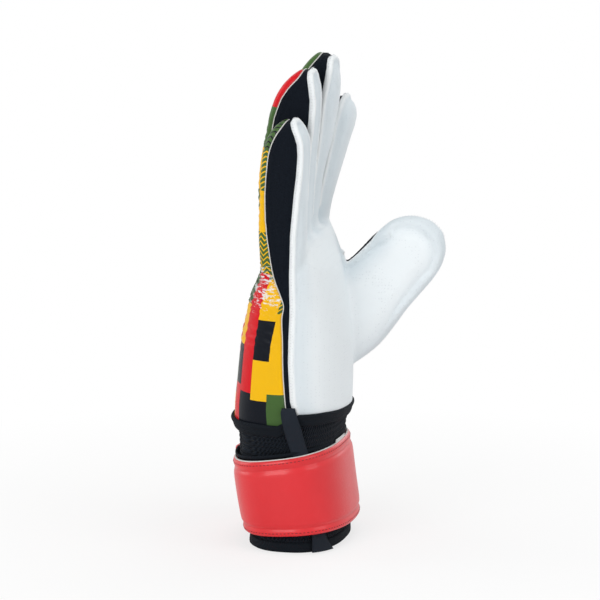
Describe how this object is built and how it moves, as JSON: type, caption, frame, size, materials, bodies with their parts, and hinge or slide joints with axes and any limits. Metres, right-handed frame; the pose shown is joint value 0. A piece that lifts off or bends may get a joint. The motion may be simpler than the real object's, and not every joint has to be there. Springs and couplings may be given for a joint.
{
  "type": "goalkeeper glove",
  "caption": "Right-hand goalkeeper glove with a latex foam palm, boxed pre-curved finger stalls, knit cuff and a wrap-round wrist strap.",
  "frame": {"origin": "middle of the open end of the wrist cuff", "axes": "+Z from the cuff's open end to the fingertips, +X out of the palm, +Y to the thumb side"},
  "size_m": [0.1155, 0.0967, 0.2856],
  "materials": {
    "palm_foam": "pale latex foam, matte, grey-shaded",
    "backhand_print": "printed synthetic, glossy, patchwork of yellow, red and green",
    "gusset_cloth": "black fleecy gusset cloth",
    "lining_cloth": "dark textile lining",
    "cuff_knit": "black elastic knit, ribbed",
    "binding_tape": "black binding tape",
    "webbing": "smooth dark webbing",
    "strap_red": "red glossy embossed strap",
    "strap_lining": "black strap lining",
    "label_cloth": "white woven care label, blank",
    "loop_pile": "black loop pile",
    "hook_tape": "black moulded hook tape"
  },
  "bodies": {
    "hand": {"palm_latex": "palm_foam", "thumb_root_back": "backhand_print", "backhand": "backhand_print", "ulnar_gusset": "gusset_cloth", "radial_gusset": "gusset_cloth", "crotch_web": "gusset_cloth", "hand_lining": "lining_cloth", "cuff": "cuff_knit", "cuff_top_binding": "binding_tape", "cuff_bottom_binding": "binding_tape", "seam_tab": "webbing", "care_label": "label_cloth", "strap_lining": "strap_lining", "strap_band": "strap_red", "strap_top_edge": "strap_red", "strap_bottom_edge": "strap_red", "loop_patch": "loop_pile"},
    "little": {"little_latex": "palm_foam", "little_back": "backhand_print", "little_gusset": "gusset_cloth", "little_lining": "lining_cloth"},
    "ring": {"ring_latex": "palm_foam", "ring_back": "backhand_print", "ring_gusset": "gusset_cloth", "ring_lining": "lining_cloth"},
    "middle": {"middle_latex": "palm_foam", "middle_back": "backhand_print", "middle_gusset": "gusset_cloth", "middle_lining": "lining_cloth"},
    "index": {"index_latex": "palm_foam", "index_back": "backhand_print", "index_gusset": "gusset_cloth", "index_lining": "lining_cloth"},
    "thumb": {"thumb_latex": "palm_foam", "thumb_back": "backhand_print", "thumb_gusset": "gusset_cloth", "thumb_lining": "lining_cloth"},
    "strap_tail": {"tail_band": "strap_red", "hook_patch": "hook_tape", "tail_top_edge": "strap_red", "tail_bottom_edge": "strap_red"}
  },
  "joints": [
    {"name": "little_knuckle", "type": "hinge", "parent": "hand", "child": "little", "pos_m": [0.0117, -0.035, 0.186], "axis": [0, 1, 0], "range_deg": [0, 60]},
    {"name": "ring_knuckle", "type": "hinge", "parent": "hand", "child": "ring", "pos_m": [0.0094, -0.0117, 0.186], "axis": [0, 1, 0], "range_deg": [0, 60]},
    {"name": "middle_knuckle", "type": "hinge", "parent": "hand", "child": "middle", "pos_m": [0.0078, 0.0119, 0.186], "axis": [0, 1, 0], "range_deg": [0, 60]},
    {"name": "index_knuckle", "type": "hinge", "parent": "hand", "child": "index", "pos_m": [0.0082, 0.0352, 0.186], "axis": [0, 1, 0], "range_deg": [0, 60]},
    {"name": "thumb_saddle", "type": "hinge", "parent": "hand", "child": "thumb", "pos_m": [0.03283, 0.0221, 0.13858], "axis": [0.7005, 0, -0.7136], "range_deg": [0, 40]},
    {"name": "strap_peel", "type": "hinge", "parent": "hand", "child": "strap_tail", "pos_m": [-0.0342, 0.0194, 0.0294], "axis": [-0.1296, 0.0758, 0.9887], "range_deg": [0, 100]}
  ]
}
